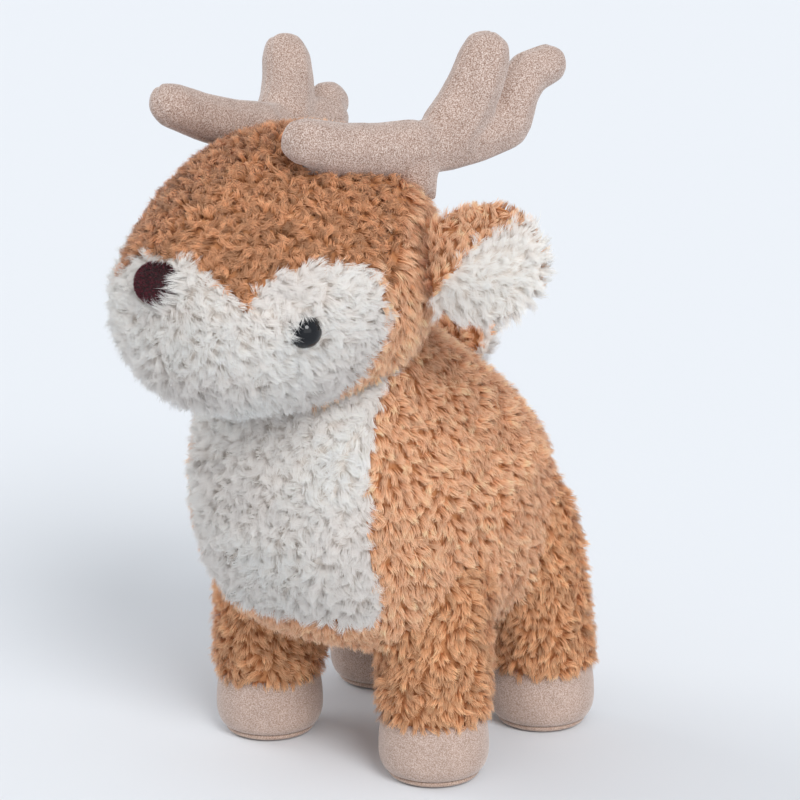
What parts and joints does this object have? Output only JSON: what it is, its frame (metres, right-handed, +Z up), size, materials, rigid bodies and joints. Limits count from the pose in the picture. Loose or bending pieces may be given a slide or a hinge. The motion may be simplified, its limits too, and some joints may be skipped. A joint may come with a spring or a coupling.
{
  "type": "plush deer",
  "caption": "Standing plush deer with a white face and bib, boot-shaped suede hooves, flap ears, a short raised tail and stuffed branching antlers.",
  "frame": {"origin": "on the ground, under the middle of the overall box", "axes": "+Z up and the longest extent, -Y towards the deer's nose, +X to the deer's left"},
  "size_m": [0.1866, 0.2019, 0.2791],
  "materials": {
    "tan_pile": "long matt tufted pile, tan",
    "white_pile": "long matt tufted pile, warm white",
    "suede": "matt micro-suede, flecked beige",
    "fibre_filling": "loose white fibre",
    "nose_flock": "flocked dark brown",
    "eye_gloss": "glossy black dome",
    "washer_plastic": "moulded plastic, white"
  },
  "bodies": {
    "deer": {"chest_bib": "white_pile", "belly_panel": "tan_pile", "body_side_left": "tan_pile", "body_side_right": "tan_pile", "body_filling": "fibre_filling", "leg_front_left_sleeve": "tan_pile", "leg_front_left_hoof": "suede", "leg_front_left_sole": "suede", "leg_front_right_sleeve": "tan_pile", "leg_front_right_hoof": "suede", "leg_front_right_sole": "suede", "leg_hind_left_sleeve": "tan_pile", "leg_hind_left_hoof": "suede", "leg_hind_left_sole": "suede", "leg_hind_right_sleeve": "tan_pile", "leg_hind_right_hoof": "suede", "leg_hind_right_sole": "suede", "nose": "nose_flock", "nose_washer": "washer_plastic", "eye_left": "eye_gloss", "eye_left_washer": "washer_plastic", "eye_right": "eye_gloss", "eye_right_washer": "washer_plastic", "face_left": "white_pile", "face_right": "white_pile", "crown_left": "tan_pile", "crown_right": "tan_pile", "head_filling": "fibre_filling", "antler_left_outer": "suede", "antler_left_inner": "suede", "antler_left_filling": "fibre_filling", "antler_right_outer": "suede", "antler_right_inner": "suede", "antler_right_filling": "fibre_filling"},
    "ear_left": {"ear_left_back": "tan_pile", "ear_left_front": "white_pile"},
    "ear_right": {"ear_right_back": "tan_pile", "ear_right_front": "white_pile"},
    "tail": {"tail_top": "tan_pile", "tail_under": "white_pile"}
  },
  "joints": [
    {"name": "ear_left_flap", "type": "hinge", "parent": "deer", "child": "ear_left", "pos_m": [0.0568, -0.02368, 0.203], "axis": [-0.1852, 0.1125, 0.9762], "range_deg": [-30, 30], "stiffness_Nm_per_rad": 0.05},
    {"name": "ear_right_flap", "type": "hinge", "parent": "deer", "child": "ear_right", "pos_m": [-0.06598, -0.01791, 0.19544], "axis": [-0.1959, -0.0925, -0.9762], "range_deg": [-30, 15], "stiffness_Nm_per_rad": 0.05},
    {"name": "tail_flap", "type": "hinge", "parent": "deer", "child": "tail", "pos_m": [-0.0051, 0.07702, 0.14151], "axis": [-1, 0, 0], "range_deg": [-8, 30], "stiffness_Nm_per_rad": 0.05}
  ]
}
